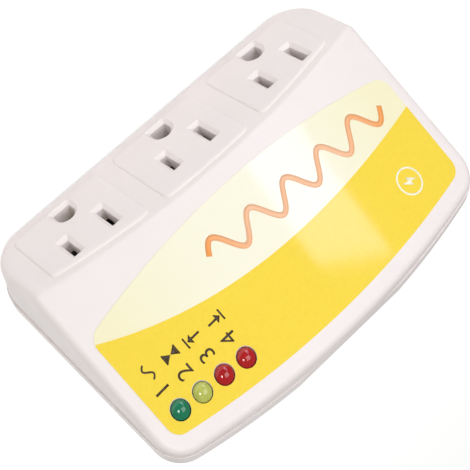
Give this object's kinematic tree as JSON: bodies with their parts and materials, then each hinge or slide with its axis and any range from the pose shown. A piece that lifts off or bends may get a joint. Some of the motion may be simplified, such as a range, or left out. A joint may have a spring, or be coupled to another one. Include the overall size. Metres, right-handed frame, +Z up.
{
  "type": "plug-in surge protector",
  "caption": "Wall surge protector: arched housing with a sloping strip of grounded outlets, a labelled panel with status lights, and a grounded plug on its back.",
  "frame": {"origin": "on the flat back face, midway between the two blades of the plug", "axes": "+X to the right seen from the front, -Y out of the wall towards the viewer, +Z up the wall"},
  "size_m": [0.119, 0.0534, 0.0812],
  "materials": {
    "front_cover": "moulded plastic, fine satin texture",
    "rear_cover": "moulded plastic, fine satin texture",
    "label": "printed film, smooth",
    "status_light_green": "clear coloured, polished",
    "status_light_yellow": "clear coloured, polished",
    "status_light_red_lower": "clear coloured, polished",
    "status_light_red_upper": "clear coloured, polished",
    "light_leads": "tinned",
    "circuit_board": "glass fibre board with green lacquer",
    "board_screws": "zinc plated",
    "case_screws": "zinc plated",
    "contact_tray": "moulded, heat resistant",
    "tray_screws": "zinc plated",
    "line_bus": "stamped",
    "neutral_bus": "stamped",
    "ground_bus": "stamped",
    "line_blade": "stamped, bright",
    "neutral_blade": "stamped, bright",
    "ground_pin": "turned, bright",
    "plug_clamp": "moulded",
    "clamp_screws": "zinc plated",
    "relay_base": "moulded",
    "relay_case": "moulded",
    "relay_bobbin": "moulded",
    "relay_coil": "enamelled copper winding",
    "relay_core": "soft iron",
    "relay_yoke": "soft iron",
    "relay_armature": "soft iron",
    "relay_contact_spring": "spring bronze",
    "relay_fixed_contacts": "stamped",
    "varistors": "dipped lacquer",
    "film_capacitor": "moulded box",
    "filter_capacitor": "can with printed sleeve",
    "diodes": "moulded",
    "power_resistor": "ceramic lacquer",
    "signal_resistors": "lacquered",
    "ceramic_capacitors": "dipped lacquer",
    "controller_chip": "moulded",
    "relay_transistor": "moulded",
    "trimmer": "moulded",
    "fuse_tube": "clear glass",
    "fuse_caps": "nickel plated",
    "fuse_clips": "stamped spring brass",
    "line_feed_wire": "insulated wire",
    "neutral_feed_wire": "insulated wire",
    "line_outlet_wire": "insulated wire",
    "neutral_outlet_wire": "insulated wire",
    "ground_wire": "insulated wire"
  },
  "bodies": {
    "housing": {"front_cover": "front_cover", "rear_cover": "rear_cover", "label": "label", "status_light_green": "status_light_green", "status_light_yellow": "status_light_yellow", "status_light_red_lower": "status_light_red_lower", "status_light_red_upper": "status_light_red_upper", "light_leads": "light_leads", "circuit_board": "circuit_board", "board_screws": "board_screws", "case_screws": "case_screws", "contact_tray": "contact_tray", "tray_screws": "tray_screws", "line_bus": "line_bus", "neutral_bus": "neutral_bus", "ground_bus": "ground_bus", "line_blade": "line_blade", "neutral_blade": "neutral_blade", "ground_pin": "ground_pin", "plug_clamp": "plug_clamp", "clamp_screws": "clamp_screws", "relay_base": "relay_base", "relay_case": "relay_case", "relay_bobbin": "relay_bobbin", "relay_coil": "relay_coil", "relay_core": "relay_core", "relay_yoke": "relay_yoke", "relay_fixed_contacts": "relay_fixed_contacts", "varistors": "varistors", "film_capacitor": "film_capacitor", "filter_capacitor": "filter_capacitor", "diodes": "diodes", "power_resistor": "power_resistor", "signal_resistors": "signal_resistors", "ceramic_capacitors": "ceramic_capacitors", "controller_chip": "controller_chip", "relay_transistor": "relay_transistor", "trimmer": "trimmer", "fuse_tube": "fuse_tube", "fuse_caps": "fuse_caps", "fuse_clips": "fuse_clips", "line_feed_wire": "line_feed_wire", "neutral_feed_wire": "neutral_feed_wire", "line_outlet_wire": "line_outlet_wire", "neutral_outlet_wire": "neutral_outlet_wire", "ground_wire": "ground_wire"},
    "armature": {"relay_armature": "relay_armature", "relay_contact_spring": "relay_contact_spring"}
  },
  "joints": [
    {"name": "relay_armature_pull", "type": "hinge", "parent": "housing", "child": "armature", "pos_m": [-0.02691, -0.0139, 0.00611], "axis": [0, 0, 1], "range_deg": [0, 5.8], "stiffness_Nm_per_rad": 0.02}
  ]
}
